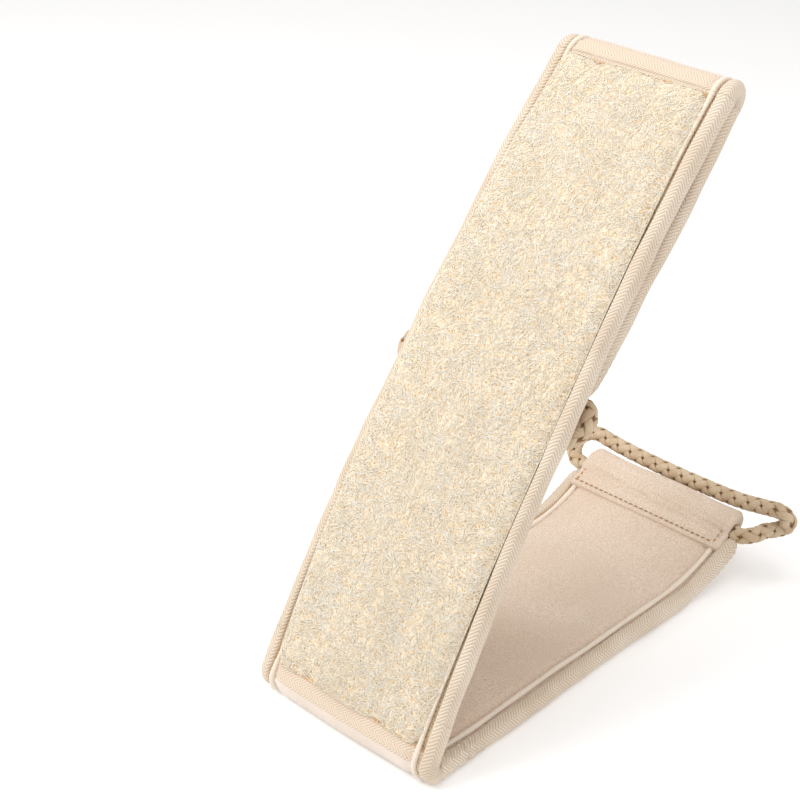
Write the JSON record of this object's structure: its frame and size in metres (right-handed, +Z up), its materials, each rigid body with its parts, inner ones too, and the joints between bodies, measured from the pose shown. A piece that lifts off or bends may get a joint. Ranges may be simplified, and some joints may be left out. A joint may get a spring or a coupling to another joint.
{
  "type": "loofah back scrubber",
  "caption": "Padded bath strap for scrubbing the back, loofah on one face and terry cloth on the other, with a rope hand loop in a hem at each end, folded to stand.",
  "frame": {"origin": "middle of the footprint, on the surface that the strap rests on", "axes": "+X across the strap, +Y along the lower section from the lower fold to its hem, +Z up"},
  "size_m": [0.1366, 0.2512, 0.2636],
  "materials": {
    "smooth_cotton": "plain woven cotton",
    "terry": "short brushed terry pile",
    "foam": "soft open foam",
    "loofah": "dry natural fibre net",
    "twill_tape": "ribbed cotton twill tape",
    "piping": "corded cotton piping",
    "rope": "braided unbleached cotton",
    "thread": "cotton thread"
  },
  "bodies": {
    "lower_section": {"lower_edge_tape_left": "twill_tape", "lower_edge_tape_right": "twill_tape", "lower_foam": "foam", "lower_hem_sleeve": "terry", "lower_hem_stitching": "thread", "lower_inner_piping_left": "piping", "lower_inner_piping_right": "piping", "lower_outer_cloth": "smooth_cotton", "lower_outer_piping_left": "piping", "lower_outer_piping_right": "piping", "lower_terry_face": "terry"},
    "loofah_section": {"back_piping_left": "piping", "back_piping_right": "piping", "bottom_seam_band": "twill_tape", "front_piping_left": "piping", "front_piping_right": "piping", "loofah_panel": "loofah", "lower_fold_edge_tape_left": "twill_tape", "lower_fold_edge_tape_right": "twill_tape", "lower_fold_foam": "foam", "lower_fold_outer_cloth": "smooth_cotton", "lower_fold_piping_left": "piping", "lower_fold_piping_right": "piping", "lower_fold_terry": "terry", "middle_edge_tape_left": "twill_tape", "middle_edge_tape_right": "twill_tape", "middle_foam": "foam", "middle_terry_back": "terry", "top_seam_band": "twill_tape", "upper_fold_edge_tape_left": "twill_tape", "upper_fold_edge_tape_right": "twill_tape", "upper_fold_foam": "foam", "upper_fold_outer_cloth": "smooth_cotton", "upper_fold_piping_left": "piping", "upper_fold_piping_right": "piping", "upper_fold_terry": "terry"},
    "upper_section": {"upper_edge_tape_left": "twill_tape", "upper_edge_tape_right": "twill_tape", "upper_foam": "foam", "upper_hem_sleeve": "terry", "upper_hem_stitching": "thread", "upper_inner_piping_left": "piping", "upper_inner_piping_right": "piping", "upper_outer_cloth": "smooth_cotton", "upper_outer_piping_left": "piping", "upper_outer_piping_right": "piping", "upper_terry_face": "terry"},
    "lower_handle": {"lower_rope_in_sleeve": "rope", "lower_rope_loop": "rope", "lower_rope_whipping": "thread"},
    "upper_handle": {"upper_rope_in_sleeve": "rope", "upper_rope_loop": "rope", "upper_rope_whipping": "thread"}
  },
  "joints": [
    {"name": "lower_fold", "type": "hinge", "parent": "lower_section", "child": "loofah_section", "pos_m": [0.00294, -0.11239, 0.009], "axis": [1, 0, 0], "range_deg": [-29, 125]},
    {"name": "upper_fold", "type": "hinge", "parent": "loofah_section", "child": "upper_section", "pos_m": [0.00308, 0.05869, 0.25178], "axis": [0.9881, -0.146, 0.049], "range_deg": [0, 178]},
    {"name": "lower_loop_swing", "type": "hinge", "parent": "lower_section", "child": "lower_handle", "pos_m": [0.00294, 0.11005, 0.02171], "axis": [1, 0, 0], "range_deg": [-45, 90]},
    {"name": "upper_loop_swing", "type": "hinge", "parent": "upper_section", "child": "upper_handle", "pos_m": [-0.00445, -0.01669, 0.13809], "axis": [-0.9881, 0.146, -0.049], "range_deg": [-90, 3]}
  ]
}
